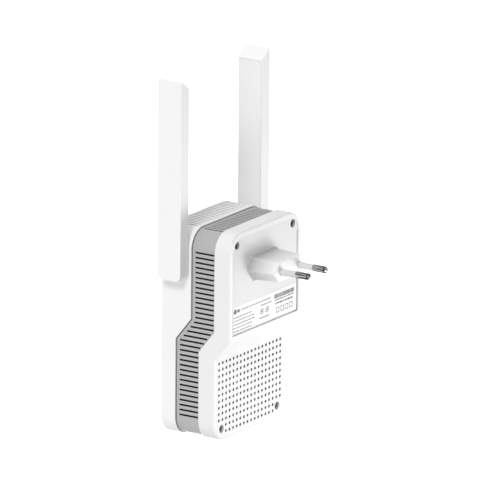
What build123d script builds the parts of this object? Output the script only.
from build123d import *
import math
import os

# A plug-in wifi range extender with two folding antennas.
#
# Frame: +Z is up, +Y points into the wall socket, and the origin is the centre of the plug's end face,
# midway between its two pins. The room sees the -Y face. All sizes are in millimetres.
#
# The case is three layers, front shell, middle frame and rear shell. Their joint lines run parallel to the
# rear face, which steps away from the wall below the plug so that air can reach its vents.

os.makedirs("parts", exist_ok=True)

# ---------------------------------------------------------------- driving sizes: the case
HALF_WIDTH = 37.2
TOP = 24.3
BOTTOM = -100.0
CORNER_RADIUS = 12.0
WALL = 2.2
PLUG_DEPTH = 16.9  # plug end face to rear face
CASE_DEPTH = 47.2  # rear face to front face, above the step
REAR_LAYER = 10.5  # thickness of the rear shell's side
FRAME_LAYER = 16.0  # thickness of the middle frame's side
STEP_DEPTH = 10.3  # how far the lower rear face stands back from the wall
STEP_HIGH = -37.6  # where the step starts on the rear face
STEP_LOW = -50.6  # where it ends
FRAME_INSET = 0.9  # the middle frame's side lies this far inside the shells' sides
SEAM_GROOVE = 0.5  # open groove between the front shell and the frame
FRONT_EDGE = 1.5
REAR_EDGE = 1.6
STEP_EDGE = 3.0

REAR = -PLUG_DEPTH
FRONT = REAR - CASE_DEPTH
MID_Z = (TOP + BOTTOM) / 2
FRAME_FRONT = REAR_LAYER + FRAME_LAYER  # depth behind the rear face where the front shell starts
CORNER_SHIFT = math.tan(math.atan(STEP_DEPTH / (STEP_HIGH - STEP_LOW)) / 2)
FAR = 200.0  # a length that reaches past the whole case

# ---------------------------------------------------------------- vents
SLOT_PITCH = 2.96
SLOT_WIDTH = 1.1
SLOT_REAR = 11.4  # depth of a side slot's rear end
SLOT_FRONT = 24.1
SIDE_SLOTS = 34
SIDE_SLOT_TOP = 11.3
TOP_SLOTS_EACH_WAY = 9
FRONT_SLOT_REAR = 28.6
FRONT_SLOT_LENGTH = 15.9
DOT_PITCH = 3.75
DOT_RADIUS = 0.95
DOT_COLUMNS = 18
DOT_ROWS = 12
DOT_TOP = -53.7
DOT_CORNER = 2  # columns and rows left out around each lower screw

# ---------------------------------------------------------------- screws
SCREW_X = 29.0
SCREW_HIGH = 17.2
SCREW_LOW = -92.9
SCREW_WELL_RADIUS = 2.4
SCREW_SEAT = 5.4  # depth of the screw head's seat
SCREW_HEAD_RADIUS = 2.25
SCREW_HEAD_HEIGHT = 1.7
SCREW_SHANK_RADIUS = 1.25
SCREW_LENGTH = 22.0
WELL_OUTER_RADIUS = 3.5
WELL_END = 8.0
BOSS_RADIUS = 2.7

# ---------------------------------------------------------------- label recess
RECESS_DEPTH = 0.6
RECESS_HALF_WIDTH = 34.2
RECESS_TOP = 21.2
RECESS_BOTTOM = -35.6
RECESS_RADIUS = 9.0
RECESS_GROOVE = 0.9  # width of the groove at its sides and foot
RECESS_GROOVE_DEPTH = 0.5
LABEL_THICKNESS = 0.2
LABEL_TOP = -18.6
LABEL_BOTTOM = -34.4
LABEL_HALF_WIDTH = 33.0

# ---------------------------------------------------------------- plug and pins
PIN_LENGTH = 19.0
PIN_END = 0.8  # how far a pin stands out behind the plug's flange
PIN_RADIUS = 2.0
PIN_CORE_RADIUS = 1.5
PIN_ROOT_X = 9.3
PIN_TIP_X = 8.75
SLEEVE_LENGTH = 10.0
SLEEVE_RADIUS = 1.8
PIN_DOME = 1.3  # rounding of the tip
PIN_COLLAR = (2.9, 2.4)  # radius and thickness of the collar inside the plug
PIN_TILT = math.degrees(math.atan((PIN_ROOT_X - PIN_TIP_X) / PIN_LENGTH))
PLUG_END = (16.1, 5.75, 11.3)  # half width, half height and half flat of its end face
PLUG_ROOT = (18.1, 6.75, 11.9)  # the same where it meets the case
PLUG_EDGE = 1.2  # rounding of its ridges and of its end face's rim
PLUG_FOOT = ((0, 0.8), (0.35, 0.3), (1.2, -0.12))  # height above the case and growth of its flared foot
PLUG_FLANGE = (42.0, 19.0, 1.8)  # width, height and thickness

# ---------------------------------------------------------------- antennas
ANTENNA_GAP = 0.6
ANTENNA_THICKNESS = 8.4
ANTENNA_WIDTH = 16.0
ANTENNA_Y = -53.0
ANTENNA_BOTTOM = -5.3
ANTENNA_TOP = 113.8
ANTENNA_TOP_SLANT = 6.4  # the inner face is this much shorter than the outer one
ANTENNA_WALL = 1.4
ANTENNA_RIM = 0.45
ANTENNA_FOOT_RADIUS = 4.0
ANTENNA_EDGE = 0.5
ANTENNA_INNER_EDGE = 0.3
ANTENNA_SEAM = 0.12
HINGE_Z = 3.0
HINGE_RADIUS = 4.0
HINGE_FLANGE_RADIUS = 5.4
HINGE_CLEARANCE = 0.05
HINGE_BORE = 1.8
HINGE_FLANGE = 1.2  # thickness of the flange inside the antenna
HINGE_END = 3.2  # how far the shaft reaches inside the case wall
CLIP_GROOVE = (1.9, 1.2, 0.8)  # distance inside the wall of its far side, width and depth
CLIP = (1.85, 1.0, 5.8)  # distance inside the wall of its far side, thickness and outer radius
CLIP_MOUTH = 2.2  # half the width of its opening
WASHER = (0.65, 0.55, 6.2)  # the same three for the friction washer
COAX_RADIUS = 0.6
COAX_SOCKET_X = 17.0
COAX_SOCKET_DROP = 12.5  # below the hinge axis
ELEMENT_LOW = 12.0
ELEMENT_HIGH = 98.0
ELEMENT_SLOT = (30.0, 60.0)
ANTENNA_IN = HALF_WIDTH + ANTENNA_GAP
ANTENNA_OUT = ANTENNA_IN + ANTENNA_THICKNESS
ANTENNA_LOW_Y = ANTENNA_Y - ANTENNA_WIDTH / 2
ANTENNA_HIGH_Y = ANTENNA_Y + ANTENNA_WIDTH / 2
PLATE_TOP = ANTENNA_TOP - ANTENNA_TOP_SLANT - 0.8
PLATE_TOP_RADIUS = 0.8
CASE_INSIDE = HALF_WIDTH - WALL

# ---------------------------------------------------------------- boards
BOARD = 1.6
MAIN_REAR = -51.9  # the main board's face towards the wall
MAIN_HALF_WIDTH = 26.0
MAIN_TOP = 12.0
MAIN_BOTTOM = -88.0
POWER_REAR = -23.4
POWER_HALF_WIDTH = 27.5
POWER_TOP = 11.0
POWER_BOTTOM = -31.0
STANDOFF_X = 22.0
STANDOFF_HEIGHTS = (-31.0, -82.0)
STANDOFF_RADIUS = 2.6
STANDOFF_BORE = 0.9
STANDOFF_DEPTH = 6.0
MAIN_FRONT = MAIN_REAR - BOARD
POWER_FRONT = POWER_REAR - BOARD
MAIN_TONGUE = (38.0, 9.0)  # width and height of the main board's lower tongue
PROCESSOR = (0.0, -45.0)  # centres of the parts on the boards, as (X, Z)
PROCESSOR_SIZE = (14.0, 14.0, 1.2)  # part sizes are width, height and thickness
THERMAL_PAD_SIZE = (13.0, 13.0, 1.0)
HEAT_SINK_HALF_WIDTH = 17.0
HEAT_SINK_HALF_HEIGHT = 14.0
HEAT_SINK_BASE = 1.4
HEAT_SINK_FIN = (6.0, 0.5, 4)  # height, half thickness and spacing
MEMORY_CHIP = (-9.0, -66.0)
MEMORY_CHIP_SIZE = (10.0, 8.0, 1.0)
NETWORK_TRANSFORMER = (4.0, -70.5)
NETWORK_TRANSFORMER_SIZE = (13.0, 8.5, 5.0)
POWER_SOCKET = (22.0, -41.5)
POWER_SOCKET_SIZE = (6.0, 8.0, 3.0)
POWER_LEAD_SPACING = 2.2
POWER_LEAD_RADIUS = 0.7
POWER_LEAD_BEND = 4.0
POWER_LEAD_REACH = 7.0  # straight out of the power board before the wire turns down
FUSE_SPAN = (-12.0, 2.0)  # x
FUSE_Z = 8.0
FUSE_RADIUS = 1.9
FUSE_STAND = 2.2  # its axis above the board
DISC_SPAN = (-1.2, 1.6)  # x, the disc capacitor's two faces
DISC_Z = -25.8
DISC_RADIUS = 4.2
DISC_STAND = 5.0
SHEET_GAP = 8.5  # main board to insulating sheet
SHEET_THICKNESS = 0.5
SHEET_HALF_WIDTH = 30.0
SHEET_SPAN = (-33.0, 13.0)  # z
SHELF_END = 20.0  # x, where the sheet's lower shelf stops
SHELF_DEPTH = 14.0
SHIELD_CAN = (14.5, -20.0)
SHIELD_CAN_SIZE = (19.0, 15.0, 2.6)
SHIELD_WALL = 0.4
TRANSFORMER = (9.0, -12.0)
TRANSFORMER_CORE_SIZE = (20.0, 18.0, 15.0)
TRANSFORMER_COIL_SIZE = (12.4, 14.0, 10.4)
BOBBIN_SIZE = (12.4, 21.0, 1.6)
INPUT_CAPACITORS = ((-21.0, -5.0), (-21.0, -17.0))
INPUT_CAPACITOR_SIZE = (4.9, 15.0)  # radius and length
OUTPUT_CAPACITOR = (23.4, -20.0)
OUTPUT_CAPACITOR_SIZE = (3.2, 11.0)
BRIDGE_RECTIFIER = (-8.5, -10.0)
BRIDGE_RECTIFIER_SIZE = (6.4, 7.0, 2.6)
CHOKE = (-8.0, -23.0)
CHOKE_RADII = (6.0, 2.6)
CHOKE_THICKNESS = 6.0
PIN_CONTACT = (7.0, 13.4, 0.6)  # nearest and farthest X and thickness

# ---------------------------------------------------------------- network jack
JACK_WIDTH = 16.0
JACK_HEIGHT = 12.0
JACK_DEPTH = 20.0
JACK_MOUTH = (11.9, 8.0)
JACK_HOLLOW = 14.0
JACK_WALL = 1.4  # between the mouth and the main board
JACK_LATCH = (6.4, 1.4, 8.0)  # width, height and depth of the notch for the plug's latch
CONTACT_COUNT = 8
CONTACT_PITCH = 1.02
CONTACT_SIZE = (0.4, 0.5)
CONTACT_INSET = 2.5  # behind the jack's mouth
FRAME_BOTTOM = BOTTOM + FRAME_INSET

# ---------------------------------------------------------------- front controls
BUTTON_Z = -72.0
BUTTON_SIZE = (17.0, 8.0)
BUTTON_GAP = 0.25
BUTTON_PROUD = 0.4
BUTTON_TRAVEL = 0.5
BUTTON_RIM = 1.2
BUTTON_STEM_RADIUS = 1.7
PLUNGER_RADIUS = 1.6
SWITCH_HALF_WIDTH = 3.0
SWITCH_HEIGHT = 3.6
SWITCH_TOP = MAIN_FRONT - SWITCH_HEIGHT - 0.9  # where the plunger meets the button's stem
LIGHT_Z = -58.0
LIGHT_PITCH = 6.0
LIGHT_RADIUS = 1.1


# ================================================================ helpers
def prism_y(sketch, low, high):
    """The sketch, drawn in X and Z, as a solid between two values of Y."""
    plane = Plane(origin=(0, high, 0), x_dir=(1, 0, 0), z_dir=(0, -1, 0))
    return extrude(plane * sketch, amount=high - low)


def block(x, y, z):
    """A box given by its low and high limits along each axis."""
    size = (x[1] - x[0], y[1] - y[0], z[1] - z[0])
    return Pos(sum(x) / 2, sum(y) / 2, sum(z) / 2) * Box(*size)


def rod_y(x, z, radius, low, high):
    """A cylinder along Y."""
    return prism_y(Pos(x, z) * Circle(radius), low, high)


def rod_x(y, z, radius, low, high):
    """A cylinder along X."""
    plane = Plane(origin=(low, 0, 0), x_dir=(0, 1, 0), z_dir=(1, 0, 0))
    return extrude(plane * Pos(y, z) * Circle(radius), amount=high - low)


def tube(points, radius, bends):
    """A round wire along straight runs joined by arcs of the given radii."""
    path = FilletPolyline(*points, radius=bends)
    start = Plane(origin=path @ 0, z_dir=path % 0)
    return sweep(start * Circle(radius), path=path)


def save(name, *shapes):
    """Writes one node. Several shapes stay separate solids."""
    solids = [s for shape in shapes for s in shape.solids()]
    export_step(solids[0] if len(solids) == 1 else Compound(solids), f"parts/{name}.step")


# ================================================================ the case's layers
def rear_line(depth):
    """The stepped rear face's side view, moved forward by depth, as points (Y, Z) from above to below."""
    y = REAR - depth
    shift = depth * CORNER_SHIFT
    return [
        (y, FAR),
        (y, STEP_HIGH + shift),
        (y - STEP_DEPTH, STEP_LOW + shift),
        (y - STEP_DEPTH, -FAR),
    ]


def rear_line_y(depth, z):
    """Y of that line at a height."""
    (y, _), (_, high), (low_y, low), _ = rear_line(depth)
    share = min(1.0, max(0.0, (high - z) / (high - low)))
    return y + (low_y - y) * share


def outline(inset):
    """The case's front view, drawn in by inset."""
    width = 2 * (HALF_WIDTH - inset)
    height = TOP - BOTTOM - 2 * inset
    return Pos(0, MID_Z) * RectangleRounded(width, height, CORNER_RADIUS - inset)


def layer(inset, near, far):
    """The case between two depths behind its rear face; a far of None ends at the front face."""
    points = rear_line(near)
    if far is None:
        points += [(FRONT, -FAR), (FRONT, FAR)]
    else:
        points += rear_line(far)[::-1]
    side = extrude(Plane.YZ * make_face(Polyline(*points, close=True)), amount=FAR, both=True)
    return prism_y(outline(inset), FRONT - 1, REAR + 1) & side


def slot_x(x_low, x_high, y_low, y_high, z):
    """A level vent slot through a side wall."""
    return block((x_low, x_high), (y_low, y_high), (z - SLOT_WIDTH / 2, z + SLOT_WIDTH / 2))


def slot_z(x, y_low, y_high, z_low, z_high):
    """An upright vent slot through a top or bottom wall."""
    return block((x - SLOT_WIDTH / 2, x + SLOT_WIDTH / 2), (y_low, y_high), (z_low, z_high))


def screw_places():
    return [(x, z) for z in (SCREW_HIGH, SCREW_LOW) for x in (SCREW_X, -SCREW_X)]


def depth_y(depth, z):
    """Y at a depth behind the rear face, above or below the step."""
    return REAR - depth - (STEP_DEPTH if z < STEP_LOW else 0)


# ================================================================ rear shell
def label_recess():
    """The shallow recess for the rating label, with its groove."""
    height = RECESS_TOP - RECESS_BOTTOM
    centre = (RECESS_TOP + RECESS_BOTTOM) / 2
    area = Pos(0, centre) * Rectangle(2 * RECESS_HALF_WIDTH, height)
    area = fillet(area.vertices().group_by(Axis.Y)[-1], RECESS_RADIUS)
    area = fillet(area.vertices().group_by(Axis.Y)[0], 1.0)
    recess = prism_y(area, REAR - RECESS_DEPTH, REAR + 1)
    groove_top = RECESS_TOP - RECESS_RADIUS
    inner = Pos(0, (FAR + RECESS_BOTTOM + RECESS_GROOVE) / 2) * Rectangle(
        2 * (RECESS_HALF_WIDTH - RECESS_GROOVE), FAR - RECESS_BOTTOM - RECESS_GROOVE
    )
    above = Pos(0, groove_top + FAR / 2) * Rectangle(FAR, FAR)
    groove = prism_y(area - inner - above, REAR - RECESS_DEPTH - RECESS_GROOVE_DEPTH, REAR + 1)
    return recess + groove


def hexagon(half_width, half_height, half_flat):
    """The plug's end view: flat above and below, pointed at the sides."""
    points = [
        (half_width, 0),
        (half_flat, half_height),
        (-half_flat, half_height),
        (-half_width, 0),
        (-half_flat, -half_height),
        (half_flat, -half_height),
    ]
    return make_face(Polyline(*points, close=True))


def plug_section(size, grow):
    """A section of the plug, drawn out by grow."""
    half_width, half_height, half_flat = size
    face = hexagon(half_width + grow, half_height + grow, half_flat + grow / 2)
    return fillet(face.vertices(), PLUG_EDGE)


def vent_dots():
    """The round holes of the lower rear face, left out around the two screws."""
    holes = []
    for column in range(DOT_COLUMNS):
        x = (column - (DOT_COLUMNS - 1) / 2) * DOT_PITCH
        at_side = min(column, DOT_COLUMNS - 1 - column) < DOT_CORNER
        for row in range(DOT_ROWS):
            at_foot = row >= DOT_ROWS - DOT_CORNER
            if not (at_side and at_foot):
                z = DOT_TOP - row * DOT_PITCH
                face = REAR - STEP_DEPTH
                holes.append(rod_y(x, z, DOT_RADIUS, face - WALL - 1, face + 1))
    return holes


def rear_shell():
    outer = layer(0, 0, REAR_LAYER)
    outer = fillet([e for e in outer.edges() if crosses_rear_face(e)], STEP_EDGE)
    outer = fillet([e for e in outer.edges() if on_rear_perimeter(e)], REAR_EDGE)
    shell = outer - layer(WALL, WALL + 0.1, REAR_LAYER + 5)
    shell -= label_recess()
    shell -= prism_y(plug_section(PLUG_ROOT, 0.1), REAR - WALL - 1, REAR)
    for x, z in screw_places():
        well = rod_y(x, z, WELL_OUTER_RADIUS, depth_y(WELL_END, z), depth_y(WALL - 0.5, z))
        shell += well & layer(0.5, 0.5, REAR_LAYER)
        shell -= rod_y(x, z, SCREW_WELL_RADIUS, depth_y(SCREW_SEAT, z), depth_y(-1, z))
        shell -= rod_y(x, z, SCREW_SHANK_RADIUS + 0.15, depth_y(WELL_END + 1, z), depth_y(-1, z))
    return shell.cut(*vent_dots())


def lies_on_rear_face(edge):
    """True if the edge follows the rear face, within the rounding of its step."""
    points = [edge @ share for share in (0.02, 0.5, 0.98)]
    return all(abs(point.Y - rear_line_y(0, point.Z)) < STEP_EDGE / 4 for point in points)


def crosses_rear_face(edge):
    """True for the two level edges of the step."""
    return lies_on_rear_face(edge) and edge.length > 2 * HALF_WIDTH - 1


def on_rear_perimeter(edge):
    """True for the outer edge of the rear face: its upright, sloped, level and round parts."""
    point = edge @ 0.5
    at_side = HALF_WIDTH - abs(point.X) < 0.01
    at_end = min(TOP - point.Z, point.Z - BOTTOM) < 0.01
    return lies_on_rear_face(edge) and (at_side or at_end or near_corner(point))


def near_corner(point):
    """True on one of the outline's four corner arcs."""
    dx = abs(point.X) - (HALF_WIDTH - CORNER_RADIUS)
    dz = abs(point.Z - MID_Z) - ((TOP - BOTTOM) / 2 - CORNER_RADIUS)
    return dx > 0 and dz > 0 and abs(math.hypot(dx, dz) - CORNER_RADIUS) < 0.01


# ================================================================ middle frame
def middle_frame():
    body = layer(FRAME_INSET, REAR_LAYER, FRAME_FRONT - SEAM_GROOVE)
    tongue = layer(WALL + 0.15, REAR_LAYER - 1.8, FRAME_FRONT + 1.8)
    frame = body + tongue
    frame -= layer(WALL + 1.25, 0, FRAME_FRONT + 5)
    tools = [rod_y(x, z, WELL_OUTER_RADIUS + 0.2, FRONT, REAR) for x, z in screw_places()]
    for i in range(SIDE_SLOTS):
        z = SIDE_SLOT_TOP - i * SLOT_PITCH
        low, high = rear_line_y(SLOT_FRONT, z), rear_line_y(SLOT_REAR, z)
        tools.append(slot_x(-FAR, FAR, low, high, z))
    for i in range(-TOP_SLOTS_EACH_WAY, TOP_SLOTS_EACH_WAY + 1):
        x = i * SLOT_PITCH
        tools.append(slot_z(x, REAR - SLOT_FRONT, REAR - SLOT_REAR, TOP - 5, TOP + 5))
        if abs(x) > JACK_WIDTH / 2 + SLOT_PITCH:
            y = REAR - STEP_DEPTH
            tools.append(slot_z(x, y - SLOT_FRONT, y - SLOT_REAR, BOTTOM - 5, BOTTOM + 5))
    half = JACK_WIDTH / 2 + 0.15
    jack = (MAIN_REAR - 0.15, MAIN_REAR + JACK_HEIGHT + 0.15)
    tools.append(block((-half, half), jack, (BOTTOM - 5, BOTTOM + 8)))
    main_board_edge = (MAIN_FRONT - 0.3, MAIN_REAR + 0.3)
    tools.append(block((-19.3, 19.3), main_board_edge, (BOTTOM + 3.2, BOTTOM + 8)))
    for sign in (1, -1):
        tools.append(rod_x(ANTENNA_Y, HINGE_Z, HINGE_RADIUS + 3, *sorted((sign * 20, sign * 60))))
    return frame.cut(*tools)


# ================================================================ front shell
def front_shell():
    shell = layer(0, FRAME_FRONT, None)
    face = shell.faces().sort_by(Axis.Y)[0]
    shell = fillet(face.edges(), FRONT_EDGE)
    hollow = layer(WALL, 0, None) & block((-FAR, FAR), (FRONT + WALL, 0), (-FAR, FAR))
    shell -= hollow
    for x, z in screw_places():
        top = depth_y(WELL_END + 0.1, z)
        boss = rod_y(x, z, BOSS_RADIUS, FRONT + 1, top)
        bore = rod_y(x, z, SCREW_SHANK_RADIUS, depth_y(SCREW_SEAT + SCREW_LENGTH + 1, z), top + 1)
        shell = shell + boss - bore
    for x, z in standoff_places():
        shell += rod_y(x, z, STANDOFF_RADIUS, FRONT + 1, MAIN_FRONT)
        shell -= rod_y(x, z, STANDOFF_BORE, MAIN_FRONT - STANDOFF_DEPTH, MAIN_FRONT)
    tools = [rod_x(ANTENNA_Y, HINGE_Z, HINGE_RADIUS + HINGE_CLEARANCE, -FAR, FAR)]
    slot_front = REAR - FRONT_SLOT_REAR - FRONT_SLOT_LENGTH
    for i in range(-TOP_SLOTS_EACH_WAY, TOP_SLOTS_EACH_WAY + 1):
        tools.append(slot_z(i * SLOT_PITCH, slot_front, REAR - FRONT_SLOT_REAR, TOP - 5, TOP + 5))
    width, height = (size + 2 * BUTTON_GAP for size in BUTTON_SIZE)
    hole = Pos(0, BUTTON_Z) * RectangleRounded(width, height, height / 2 - 0.01)
    tools.append(prism_y(hole, FRONT - 1, FRONT + WALL + 1))
    for x in light_places():
        tools.append(rod_y(x, LIGHT_Z, LIGHT_RADIUS, FRONT - 1, FRONT + WALL + 1))
    return shell.cut(*tools)


def standoff_places():
    return [(x, z) for x in (STANDOFF_X, -STANDOFF_X) for z in STANDOFF_HEIGHTS]


def light_places():
    return [-LIGHT_PITCH, 0.0, LIGHT_PITCH]


# ================================================================ plug
def at_depth(y, face):
    """A face drawn in X and Z, placed at a value of Y."""
    return Plane(origin=(0, y, 0), x_dir=(1, 0, 0), z_dir=(0, -1, 0)) * face


def plug_body(inside):
    """The tapered body from the inside of the rear shell to the rounded end face."""
    body = loft([at_depth(inside, hexagon(*PLUG_ROOT)), at_depth(0, hexagon(*PLUG_END))])
    ridges = [e for e in body.edges() if abs((e @ 0).Y - (e @ 1).Y) > PLUG_DEPTH / 2]
    rim = body.faces().sort_by(Axis.Y)[-1].edges()
    return fillet(ridges + list(rim), PLUG_EDGE)


def plug_block():
    """The moulded plug, with a flared foot outside and a flange inside the rear shell."""
    floor = REAR - RECESS_DEPTH
    inside = REAR - WALL - 0.1
    wide, middle, narrow = (at_depth(floor + rise, plug_section(PLUG_ROOT, grow)) for rise, grow in PLUG_FOOT)
    foot = loft([wide, middle], ruled=True) + loft([middle, narrow], ruled=True)
    width, height, thick = PLUG_FLANGE
    flange = prism_y(RectangleRounded(width, height, 2), inside - thick, inside)
    plug = plug_body(inside) + foot + flange
    for side in (1, -1):
        plug -= along_pin(Cylinder(PIN_CORE_RADIUS, 60), side, 0)
        plug -= along_pin(Cylinder(SLEEVE_RADIUS + 0.25, 1.2), side, -0.5)
        plug -= along_pin(Cylinder(PIN_COLLAR[0] + 0.3, 3), side, inside + 0.6)
    return plug


def along_pin(shape, side, at):
    """Puts a shape whose axis is Z on a pin's axis, centred that far in front of the plug's end face."""
    tilt = side * PIN_TILT
    return Pos(side * PIN_ROOT_X, 0, 0) * Rot(0, 0, tilt) * Pos(0, at, 0) * Rot(-90, 0, 0) * shape


def pin_root():
    """How far behind the end face the pin's inner end lies."""
    return PLUG_DEPTH + WALL + PLUG_FLANGE[2] + PIN_END


def pin(side):
    """A round-ended contact pin with a neck for its sleeve and a collar inside the plug."""
    tip_length = PIN_LENGTH - SLEEVE_LENGTH
    tip = Pos(0, 0, SLEEVE_LENGTH + tip_length / 2) * Cylinder(PIN_RADIUS, tip_length)
    tip = fillet(tip.edges().sort_by(Axis.Z)[-1], PIN_DOME)
    neck_length = SLEEVE_LENGTH + pin_root()
    neck = Pos(0, 0, SLEEVE_LENGTH - neck_length / 2) * Cylinder(PIN_CORE_RADIUS, neck_length)
    collar = Pos(0, 0, -PLUG_DEPTH - WALL + 0.6) * Cylinder(*PIN_COLLAR)
    return along_pin(tip + neck + collar, side, 0)


def sleeve(side):
    """The insulating sleeve on a pin's root half."""
    ring = Cylinder(SLEEVE_RADIUS, SLEEVE_LENGTH + 0.9) - Cylinder(PIN_CORE_RADIUS, SLEEVE_LENGTH + 2)
    return along_pin(ring, side, (SLEEVE_LENGTH - 0.9) / 2)


def pin_contact():
    """The bent strip from a pin's inner end to the power board."""
    y = -pin_root() - 0.1
    near, far, thick = PIN_CONTACT
    foot = block((near, far), (y - thick, y), (-2.6, 2.6))
    leg = block((far - thick, far), (POWER_FRONT - 0.8, y), (-2.0, 2.0))
    return foot + leg


# ================================================================ fasteners and label
def case_screw(x, z):
    """A pan-head screw with a cross recess, driven from the rear."""
    seat = depth_y(SCREW_SEAT, z)
    head = rod_y(x, z, SCREW_HEAD_RADIUS, seat, seat + SCREW_HEAD_HEIGHT)
    head = fillet(head.edges().sort_by(Axis.Y)[-1], 0.7)
    shank = rod_y(x, z, SCREW_SHANK_RADIUS - 0.01, seat - SCREW_LENGTH, seat)
    top = seat + SCREW_HEAD_HEIGHT
    cross = block((x - 1.3, x + 1.3), (top - 1.0, top + 1), (z - 0.3, z + 0.3))
    cross += block((x - 0.3, x + 0.3), (top - 1.0, top + 1), (z - 1.3, z + 1.3))
    return head + shank - cross


def board_screw(x, z):
    """A small screw that holds the main board on its standoff."""
    head = rod_y(x, z, 1.9, MAIN_REAR, MAIN_REAR + 1.2)
    return head + rod_y(x, z, STANDOFF_BORE - 0.01, MAIN_REAR - STANDOFF_DEPTH, MAIN_REAR)


def rating_label():
    height = LABEL_TOP - LABEL_BOTTOM
    shape = Pos(0, (LABEL_TOP + LABEL_BOTTOM) / 2) * RectangleRounded(2 * LABEL_HALF_WIDTH, height, 0.8)
    floor = REAR - RECESS_DEPTH
    return prism_y(shape, floor, floor + LABEL_THICKNESS)


# ================================================================ antennas, made on the +X side
def antenna_plate(gap):
    """The inner plate's outline solid, larger by gap on every side."""
    inset = ANTENNA_RIM - gap
    low, high = ANTENNA_BOTTOM + inset, PLATE_TOP + gap
    face = Pos(0, (low + high) / 2) * Rectangle(ANTENNA_WIDTH - 2 * inset, high - low)
    face = fillet(face.vertices().group_by(Axis.Y)[0], ANTENNA_FOOT_RADIUS - inset)
    face = fillet(face.vertices().group_by(Axis.Y)[-1], PLATE_TOP_RADIUS)
    plane = Plane(origin=(ANTENNA_IN, ANTENNA_Y, 0), x_dir=(0, 1, 0), z_dir=(1, 0, 0))
    return extrude(plane * face, amount=ANTENNA_WALL)


def antenna_housing():
    """The hollow outer cover, open on its inner face where the plate goes in."""
    side = [
        (ANTENNA_IN, ANTENNA_BOTTOM),
        (ANTENNA_OUT, ANTENNA_BOTTOM),
        (ANTENNA_OUT, ANTENNA_TOP),
        (ANTENNA_IN, ANTENNA_TOP - ANTENNA_TOP_SLANT),
    ]
    body = prism_y(make_face(Polyline(*side, close=True)), ANTENNA_LOW_Y, ANTENNA_HIGH_Y)
    foot = body.edges().filter_by(Axis.X).group_by(Axis.Z)[0]
    body = fillet(foot, ANTENNA_FOOT_RADIUS)
    body = fillet([e for e in body.edges() if e.center().X > ANTENNA_OUT - 0.01], ANTENNA_EDGE)
    body = fillet([e for e in body.edges() if e.center().X < ANTENNA_IN + 0.01], ANTENNA_INNER_EDGE)
    hollow = block(
        (ANTENNA_IN + ANTENNA_WALL - 0.01, ANTENNA_OUT - ANTENNA_WALL),
        (ANTENNA_LOW_Y + ANTENNA_WALL, ANTENNA_HIGH_Y - ANTENNA_WALL),
        (HINGE_Z - HINGE_FLANGE_RADIUS - 0.4, PLATE_TOP - 1),
    )
    return body - hollow - antenna_plate(ANTENNA_SEAM)


def antenna_back():
    """The inner plate, with the hole that the hinge shaft passes through."""
    return antenna_plate(0) - rod_x(ANTENNA_Y, HINGE_Z, HINGE_RADIUS + HINGE_CLEARANCE, 0, FAR)


def hinge_shaft():
    """The hollow pivot: a flange in the antenna, a shaft through the case wall and its clip's groove."""
    flange_at = ANTENNA_IN + ANTENNA_WALL
    back, width, depth = CLIP_GROOVE
    shaft = rod_x(ANTENNA_Y, HINGE_Z, HINGE_FLANGE_RADIUS, flange_at, flange_at + HINGE_FLANGE)
    shaft += rod_x(ANTENNA_Y, HINGE_Z, HINGE_RADIUS, CASE_INSIDE - HINGE_END, flange_at)
    shaft -= ring(CASE_INSIDE - back, width, HINGE_RADIUS + 1, HINGE_RADIUS - depth)
    return shaft - rod_x(ANTENNA_Y, HINGE_Z, HINGE_BORE, 0, FAR)


def ring(x, width, outer, inner):
    """A flat ring about the hinge axis, from x to x + width."""
    disc = rod_x(ANTENNA_Y, HINGE_Z, outer, x, x + width)
    return disc - rod_x(ANTENNA_Y, HINGE_Z, inner, 0, FAR)


def hinge_clip():
    """The open clip in the shaft's groove that keeps the antenna on the case."""
    back, thick, radius = CLIP
    clip = ring(CASE_INSIDE - back, thick, radius, HINGE_RADIUS - CLIP_GROOVE[2] + 0.05)
    sides = (ANTENNA_Y - CLIP_MOUTH, ANTENNA_Y + CLIP_MOUTH)
    return clip - block((0, CASE_INSIDE), sides, (HINGE_Z - 2 * radius, HINGE_Z))


def hinge_washer():
    """The friction washer between the case wall and the clip."""
    back, thick, radius = WASHER
    return ring(CASE_INSIDE - back, thick, radius, HINGE_RADIUS + 0.15)


def antenna_element():
    """The radiating strip inside the antenna."""
    x = ANTENNA_IN + 4.4
    strip = block((x, x + 0.8), (ANTENNA_Y - 5, ANTENNA_Y + 5), (ELEMENT_LOW, ELEMENT_HIGH))
    slot = block((x - 1, x + 2), (ANTENNA_Y - 0.6, ANTENNA_Y + 0.6), ELEMENT_SLOT)
    return strip - slot


def antenna_lead():
    """The coaxial lead from the strip, through the hinge shaft."""
    x = ANTENNA_IN + 3.7
    start, corner = (x, ANTENNA_Y, ELEMENT_LOW + 4), (x, ANTENNA_Y, HINGE_Z)
    end = (CASE_INSIDE - 2.6, ANTENNA_Y, HINGE_Z)
    return tube([start, corner, end], COAX_RADIUS, [3.2])


def board_lead():
    """The coaxial lead from the hinge shaft to its socket on the main board."""
    x = CASE_INSIDE - 2.95
    y = MAIN_REAR + 1.0
    points = [
        (x, ANTENNA_Y, HINGE_Z),
        (x - 2.2, ANTENNA_Y, HINGE_Z),
        (x - 5.0, y, HINGE_Z),
        (x - 11.0, y, HINGE_Z - 1.0),
        (COAX_SOCKET_X, y, HINGE_Z - 7.0),
        (COAX_SOCKET_X, y, HINGE_Z - COAX_SOCKET_DROP + 1.5),
    ]
    return tube(points, COAX_RADIUS, [2.4, 2.4, 3.0, 3.2])


def coax_plug():
    """The small push-on plug that ends the lead on the main board."""
    return rod_y(COAX_SOCKET_X, HINGE_Z - COAX_SOCKET_DROP, 1.5, MAIN_REAR, MAIN_REAR + 1.8)


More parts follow.
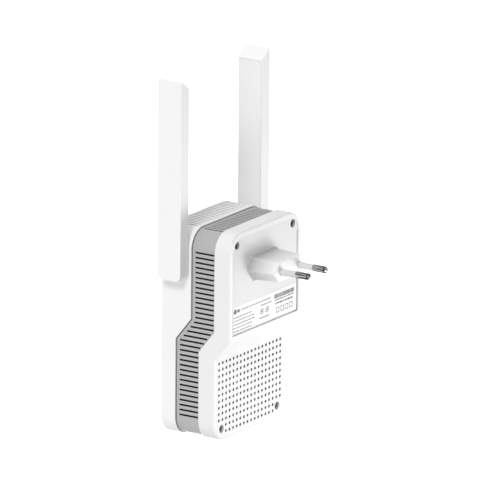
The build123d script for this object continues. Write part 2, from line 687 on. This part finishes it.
# ================================================================ boards and what they carry
def main_board():
    """The main board, with a tongue that reaches down to the network jack."""
    middle = (MAIN_TOP + MAIN_BOTTOM) / 2
    outline_face = Pos(0, middle) * Rectangle(2 * MAIN_HALF_WIDTH, MAIN_TOP - MAIN_BOTTOM)
    outline_face += Pos(0, MAIN_BOTTOM + 1 - MAIN_TONGUE[1] / 2) * Rectangle(*MAIN_TONGUE)
    board = prism_y(outline_face, MAIN_FRONT, MAIN_REAR)
    return board.cut(*[rod_y(x, z, 1.1, FRONT, 0) for x, z in standoff_places()])


def power_board():
    face = Pos(0, (POWER_TOP + POWER_BOTTOM) / 2) * Rectangle(2 * POWER_HALF_WIDTH, POWER_TOP - POWER_BOTTOM)
    board = prism_y(face, POWER_FRONT, POWER_REAR)
    _, far, thick = PIN_CONTACT
    slot = block((far - thick - 0.1, far + 0.1), (-FAR, 0), (-2.1, 2.1))
    return board.cut(slot, mirror(slot, about=Plane.YZ))


def on_main(place, size):
    """A low block on the main board's rear face, with eased edges."""
    (x, z), (width, height, thick) = place, size
    depth = (MAIN_REAR, MAIN_REAR + thick)
    part = block((x - width / 2, x + width / 2), depth, (z - height / 2, z + height / 2))
    return fillet(part.edges().filter_by(Axis.Y), min(0.5, thick / 3))


def on_power(place, size):
    """A block on the power board's front face."""
    (x, z), (width, height, thick) = place, size
    depth = (POWER_FRONT - thick, POWER_FRONT)
    return block((x - width / 2, x + width / 2), depth, (z - height / 2, z + height / 2))


def can_on_power(place, size):
    """An electrolytic capacitor with a rolled groove near its foot."""
    (x, z), (radius, length) = place, size
    can = rod_y(x, z, radius, POWER_FRONT - length, POWER_FRONT)
    can = fillet(can.edges(), 0.6)
    groove = rod_y(x, z, radius + 1, POWER_FRONT - 3.0, POWER_FRONT - 2.2)
    groove -= rod_y(x, z, radius - 0.5, -FAR, 0)
    return can - groove


def heat_sink():
    """A finned plate on the processor."""
    y = MAIN_REAR + PROCESSOR_SIZE[2] + THERMAL_PAD_SIZE[2]
    z = (PROCESSOR[1] - HEAT_SINK_HALF_HEIGHT, PROCESSOR[1] + HEAT_SINK_HALF_HEIGHT)
    height, half, spacing = HEAT_SINK_FIN
    base = block((-HEAT_SINK_HALF_WIDTH, HEAT_SINK_HALF_WIDTH), (y, y + HEAT_SINK_BASE), z)
    fins = []
    for i in range(-4, 5):
        x = i * spacing
        fins.append(block((x - half, x + half), (y + HEAT_SINK_BASE, y + height), z))
    return base.fuse(*fins)


def shield_can():
    """A pressed cover over one radio, with a row of holes."""
    x, z = SHIELD_CAN
    width, height, thick = SHIELD_CAN_SIZE
    can = on_main(SHIELD_CAN, SHIELD_CAN_SIZE)
    half_width, half_height = width / 2 - SHIELD_WALL, height / 2 - SHIELD_WALL
    inside = (MAIN_REAR - 1, MAIN_REAR + thick - SHIELD_WALL)
    hollow = block((x - half_width, x + half_width), inside, (z - half_height, z + half_height))
    holes = [rod_y(x + i * 3.2, z, 0.7, MAIN_REAR, 0) for i in range(-2, 3)]
    return (can - hollow).cut(*holes)


def transformer_core():
    window_size = (13.0, 2 * TRANSFORMER_CORE_SIZE[1], 11.0)
    window = Pos(0, -2, 0) * on_power(TRANSFORMER, window_size)
    return on_power(TRANSFORMER, TRANSFORMER_CORE_SIZE) - window


def transformer_coil():
    """The taped winding between the bobbin's two cheeks."""
    coil = Pos(0, -2.3, 0) * on_power(TRANSFORMER, TRANSFORMER_COIL_SIZE)
    cheek = on_power(TRANSFORMER, BOBBIN_SIZE)
    return coil + Pos(0, -2, 0) * cheek + Pos(0, -11.2, 0) * cheek


def choke():
    """A common-mode choke: a ferrite ring standing on the power board."""
    outer, inner = CHOKE_RADII
    face = Pos(*CHOKE) * (Circle(outer) - Circle(inner))
    return fillet(prism_y(face, POWER_FRONT - CHOKE_THICKNESS, POWER_FRONT).edges(), 0.8)


def fuse():
    """A glass fuse's body lying on the power board."""
    body = rod_x(POWER_FRONT - FUSE_STAND, FUSE_Z, FUSE_RADIUS, *FUSE_SPAN)
    return fillet(body.edges(), 0.4)


def safety_capacitor():
    """A disc capacitor on edge."""
    disc = rod_x(POWER_FRONT - DISC_STAND, DISC_Z, DISC_RADIUS, *DISC_SPAN)
    return fillet(disc.edges(), 1.0)


def power_lead(side):
    """One of the two wires from the power board down to the main board."""
    x = POWER_SOCKET[0] + side * POWER_LEAD_SPACING / 2
    start, end = POWER_BOTTOM + 4, POWER_SOCKET[1]
    points = [
        (x, POWER_FRONT - 0.05, start),
        (x, POWER_FRONT - POWER_LEAD_REACH, start),
        (x, POWER_FRONT - 2 * POWER_LEAD_REACH, end),
        (x, MAIN_REAR + POWER_SOCKET_SIZE[2] + 0.05, end),
    ]
    return tube(points, POWER_LEAD_RADIUS, [POWER_LEAD_BEND, POWER_LEAD_BEND])


def insulating_sheet():
    """The plastic sheet that keeps the mains side away from the main board."""
    y = MAIN_REAR + SHEET_GAP
    low = SHEET_SPAN[0]
    sheet = block((-SHEET_HALF_WIDTH, SHEET_HALF_WIDTH), (y, y + SHEET_THICKNESS), SHEET_SPAN)
    shelf = block((-SHEET_HALF_WIDTH, SHELF_END), (y, y + SHELF_DEPTH), (low - SHEET_THICKNESS, low))
    return sheet + shelf


def ethernet_jack():
    """The network socket: a shielded body whose mouth faces down."""
    y = (MAIN_REAR, MAIN_REAR + JACK_HEIGHT)
    half = JACK_WIDTH / 2
    top = FRAME_BOTTOM + JACK_DEPTH
    body = block((-half, half), y, (FRAME_BOTTOM, top))
    width, height = JACK_MOUTH
    low = y[0] + JACK_WALL
    mouth_z = (FRAME_BOTTOM - 1, FRAME_BOTTOM + JACK_HOLLOW)
    body -= block((-width / 2, width / 2), (low, low + height), mouth_z)
    latch_width, latch_height, latch_depth = JACK_LATCH
    latch_y = (low + height - 0.1, low + height + latch_height)
    latch_z = (FRAME_BOTTOM - 1, FRAME_BOTTOM + latch_depth)
    body -= block((-latch_width / 2, latch_width / 2), latch_y, latch_z)
    return body


def jack_contacts():
    """The eight sprung contacts in the jack, each a straight wire along one wall."""
    width, thick = CONTACT_SIZE
    y = (MAIN_REAR + JACK_WALL, MAIN_REAR + JACK_WALL + thick)
    z = (FRAME_BOTTOM + CONTACT_INSET, FRAME_BOTTOM + JACK_HOLLOW)
    places = [(i - (CONTACT_COUNT - 1) / 2) * CONTACT_PITCH for i in range(CONTACT_COUNT)]
    return [block((x - width / 2, x + width / 2), y, z) for x in places]


# ================================================================ front controls
def button_cap():
    """The pairing button: a pill-shaped cap on a stem, with a rim that keeps it inside the shell."""
    width, height = BUTTON_SIZE
    face = Pos(0, BUTTON_Z) * RectangleRounded(width, height, height / 2 - 0.01)
    cap = prism_y(face, FRONT - BUTTON_PROUD, FRONT + WALL + 0.4)
    cap = fillet(cap.faces().sort_by(Axis.Y)[0].edges(), 0.35)
    rim_size = (width + 2 * BUTTON_RIM, height + 2 * BUTTON_RIM)
    rim = Pos(0, BUTTON_Z) * RectangleRounded(*rim_size, rim_size[1] / 2 - 0.01)
    cap += prism_y(rim, FRONT + WALL + 0.1, FRONT + WALL + 1.0)
    return cap + rod_y(0, BUTTON_Z, BUTTON_STEM_RADIUS, FRONT + WALL, SWITCH_TOP)


def switch_plunger():
    """The switch's sprung pin, which moves with the button."""
    return rod_y(0, BUTTON_Z, PLUNGER_RADIUS, SWITCH_TOP, MAIN_FRONT - SWITCH_HEIGHT + 0.9)


def push_switch():
    """The switch under the button, hollow where its plunger slides."""
    top = MAIN_FRONT - SWITCH_HEIGHT
    half = SWITCH_HALF_WIDTH
    body = block((-half, half), (top, MAIN_FRONT), (BUTTON_Z - half, BUTTON_Z + half))
    body = fillet(body.edges().filter_by(Axis.Y), 0.4)
    return body - rod_y(0, BUTTON_Z, PLUNGER_RADIUS + 0.05, top - 1, top + 0.9 + BUTTON_TRAVEL + 0.3)


def light_pipe(x):
    """A clear rod that carries one indicator's light to the front face."""
    rod = rod_y(x, LIGHT_Z, LIGHT_RADIUS - 0.02, FRONT - 0.15, MAIN_FRONT - 1.2)
    flange = rod_y(x, LIGHT_Z, LIGHT_RADIUS + 0.7, FRONT + WALL, FRONT + WALL + 0.8)
    return rod + flange


def indicator(x):
    """One indicator lamp on the main board's front face."""
    return block((x - 0.8, x + 0.8), (MAIN_FRONT - 1.0, MAIN_FRONT), (LIGHT_Z - 0.5, LIGHT_Z + 0.5))


# ================================================================ write every node
save("rear_shell", rear_shell())
save("middle_frame", middle_frame())
save("front_shell", front_shell())
save("plug_block", plug_block())
save("case_screws", *[case_screw(x, z) for x, z in screw_places()])
save("board_screws", *[board_screw(x, z) for x, z in standoff_places()])
save("rating_label", rating_label())

for name, side in (("left", 1), ("right", -1)):
    save(f"{name}_pin", pin(side))
    save(f"{name}_pin_sleeve", sleeve(side))
    paired = {
        "pin_contact": pin_contact(),
        "antenna_housing": antenna_housing(),
        "antenna_back": antenna_back(),
        "antenna_element": antenna_element(),
        "antenna_lead": antenna_lead(),
        "hinge_shaft": hinge_shaft(),
        "hinge_clip": hinge_clip(),
        "hinge_washer": hinge_washer(),
        "board_lead": board_lead(),
        "coax_plug": coax_plug(),
        "shield_can": shield_can(),
    }
    for part_name, shape in paired.items():
        save(f"{name}_{part_name}", shape if side > 0 else mirror(shape, about=Plane.YZ))

save("main_board", main_board())
save("processor", on_main(PROCESSOR, PROCESSOR_SIZE))
save("thermal_pad", Pos(0, PROCESSOR_SIZE[2], 0) * on_main(PROCESSOR, THERMAL_PAD_SIZE))
save("heat_sink", heat_sink())
save("memory_chip", on_main(MEMORY_CHIP, MEMORY_CHIP_SIZE))
save("network_transformer", on_main(NETWORK_TRANSFORMER, NETWORK_TRANSFORMER_SIZE))
save("power_socket", on_main(POWER_SOCKET, POWER_SOCKET_SIZE))
save("power_leads", power_lead(1), power_lead(-1))
save("insulating_sheet", insulating_sheet())

save("power_board", power_board())
save("transformer_core", transformer_core())
save("transformer_coil", transformer_coil())
save("input_capacitors", *[can_on_power(place, INPUT_CAPACITOR_SIZE) for place in INPUT_CAPACITORS])
save("output_capacitor", can_on_power(OUTPUT_CAPACITOR, OUTPUT_CAPACITOR_SIZE))
save("mains_choke", choke())
save("mains_fuse", fuse())
save("safety_capacitor", safety_capacitor())
save("bridge_rectifier", on_power(BRIDGE_RECTIFIER, BRIDGE_RECTIFIER_SIZE))

save("ethernet_jack", ethernet_jack())
save("jack_contacts", *jack_contacts())

save("button_cap", button_cap())
save("switch_plunger", switch_plunger())
save("push_switch", push_switch())
save("light_pipes", *[light_pipe(x) for x in light_places()])
save("indicator_lamps", *[indicator(x) for x in light_places()])
